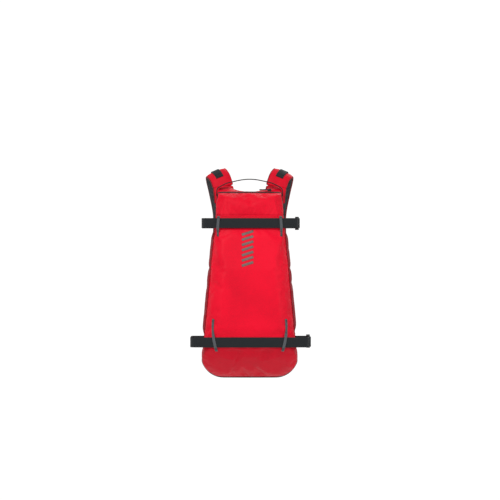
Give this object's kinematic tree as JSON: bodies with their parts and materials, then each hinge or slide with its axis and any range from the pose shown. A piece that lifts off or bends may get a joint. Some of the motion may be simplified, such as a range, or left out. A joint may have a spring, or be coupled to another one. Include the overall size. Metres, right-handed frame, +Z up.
{
  "type": "ski carry backpack",
  "caption": "Red ski touring backpack with straps for carrying skis in an A-frame, a zipped top flap, haul handle, padded shoulder straps and hip belt.",
  "frame": {"origin": "centre of the back pad's flat face, where the pack bears on the wearer's back", "axes": "+Z up, -Y out of the front panel, +Y towards the wearer, +X to the right as seen from the front"},
  "size_m": [0.2991, 0.3241, 0.5317],
  "materials": {
    "red_nylon": "matte",
    "base_red_nylon": "matte",
    "dark_red_nylon": "matte",
    "red_padding": "matte",
    "black_webbing": "matte",
    "grey_webbing": "matte",
    "dark_piping": "matte",
    "zip_tape": "matte",
    "zip_metal": "satin",
    "buckle_plastic": "satin",
    "reflective_print": "satin",
    "back_mesh": "matte",
    "frame_plastic": "matte",
    "lining": "matte"
  },
  "bodies": {
    "root": {"back_pad": "back_mesh", "back_wall": "dark_red_nylon", "base_panel": "base_red_nylon", "base_piping": "dark_piping", "buckle_socket_lower": "buckle_plastic", "buckle_socket_upper": "buckle_plastic", "frame_sheet": "frame_plastic", "front_panel": "red_nylon", "handle_tack_left": "black_webbing", "handle_tack_right": "black_webbing", "inner_sleeve": "lining", "lumbar_pad": "back_mesh", "rear_gusset": "red_nylon", "reflective_mark": "reflective_print", "side_panel_left": "dark_red_nylon", "side_panel_right": "dark_red_nylon", "ski_strap_lower": "black_webbing", "ski_strap_lower_tail": "black_webbing", "ski_strap_upper": "black_webbing", "ski_strap_upper_tail": "black_webbing", "strap_keepers_lower": "grey_webbing", "strap_keepers_upper": "grey_webbing", "strap_tabs_lower": "black_webbing", "strap_tabs_upper": "black_webbing", "strap_yoke_left": "red_padding", "strap_yoke_right": "red_padding", "tail_anchor_left": "black_webbing", "tail_anchor_right": "black_webbing", "zip_tape_rear": "zip_tape"},
    "top_flap": {"top_flap": "red_nylon", "zip_tape_flap": "zip_tape"},
    "zip_slider": {"zip_slider": "zip_metal"},
    "zip_pull": {"zip_pull": "zip_metal"},
    "haul_handle": {"haul_handle": "black_webbing"},
    "buckle_tongue_upper": {"buckle_tongue_upper": "buckle_plastic"},
    "buckle_tongue_lower": {"buckle_tongue_lower": "buckle_plastic"},
    "shoulder_strap_left": {"shoulder_strap_left": "red_padding", "strap_webbing_left": "black_webbing", "sternum_rail_left": "black_webbing", "ladder_lock_left": "buckle_plastic", "strap_tail_left": "black_webbing"},
    "sternum_half_left": {"sternum_clip_left": "buckle_plastic", "sternum_web_left": "black_webbing", "sternum_socket": "buckle_plastic"},
    "hip_wing_left": {"hip_wing_left": "red_padding", "hip_web_left": "black_webbing", "hip_socket": "buckle_plastic"},
    "shoulder_strap_right": {"shoulder_strap_right": "red_padding", "strap_webbing_right": "black_webbing", "sternum_rail_right": "black_webbing", "ladder_lock_right": "buckle_plastic", "strap_tail_right": "black_webbing"},
    "sternum_half_right": {"sternum_clip_right": "buckle_plastic", "sternum_web_right": "black_webbing", "sternum_tongue": "buckle_plastic"},
    "hip_wing_right": {"hip_wing_right": "red_padding", "hip_web_right": "black_webbing", "hip_tongue": "buckle_plastic"}
  },
  "joints": [
    {"name": "flap_fold", "type": "hinge", "parent": "root", "child": "top_flap", "pos_m": [0, -0.125, 0.165], "axis": [1, 0, 0], "range_deg": [0, 95]},
    {"name": "zip_run", "type": "slide", "parent": "top_flap", "child": "zip_slider", "axis": [-1, 0, 0], "range_m": [0, 0.1]},
    {"name": "pull_swing", "type": "hinge", "parent": "zip_slider", "child": "zip_pull", "pos_m": [0.05, -0.06377, 0.23052], "axis": [0, 0.9659, 0.2588], "range_deg": [0, 140]},
    {"name": "handle_swing", "type": "hinge", "parent": "root", "child": "haul_handle", "pos_m": [0, -0.035, 0.226], "axis": [1, 0, 0], "range_deg": [0, 30]},
    {"name": "upper_buckle_release", "type": "slide", "parent": "root", "child": "buckle_tongue_upper", "axis": [0, -1, 0], "range_m": [0, 0.0145]},
    {"name": "lower_buckle_release", "type": "slide", "parent": "root", "child": "buckle_tongue_lower", "axis": [0, -1, 0], "range_m": [0, 0.0145]},
    {"name": "shoulder_swing_left", "type": "hinge", "parent": "root", "child": "shoulder_strap_left", "pos_m": [-0.068, -0.005, 0.2415], "axis": [1, 0, 0], "range_deg": [0, 35]},
    {"name": "sternum_height_left", "type": "slide", "parent": "shoulder_strap_left", "child": "sternum_half_left", "axis": [0, 0, 1], "range_m": [-0.025, 0.025]},
    {"name": "hip_swing_left", "type": "hinge", "parent": "root", "child": "hip_wing_left", "pos_m": [-0.104, -0.001, -0.161], "axis": [0, 0, 1], "range_deg": [0, 75]},
    {"name": "shoulder_swing_right", "type": "hinge", "parent": "root", "child": "shoulder_strap_right", "pos_m": [0.068, -0.005, 0.2415], "axis": [1, 0, 0], "range_deg": [0, 35]},
    {"name": "sternum_height_right", "type": "slide", "parent": "shoulder_strap_right", "child": "sternum_half_right", "axis": [0, 0, 1], "range_m": [-0.025, 0.025]},
    {"name": "hip_swing_right", "type": "hinge", "parent": "root", "child": "hip_wing_right", "pos_m": [0.104, -0.001, -0.161], "axis": [0, 0, -1], "range_deg": [0, 75]}
  ]
}
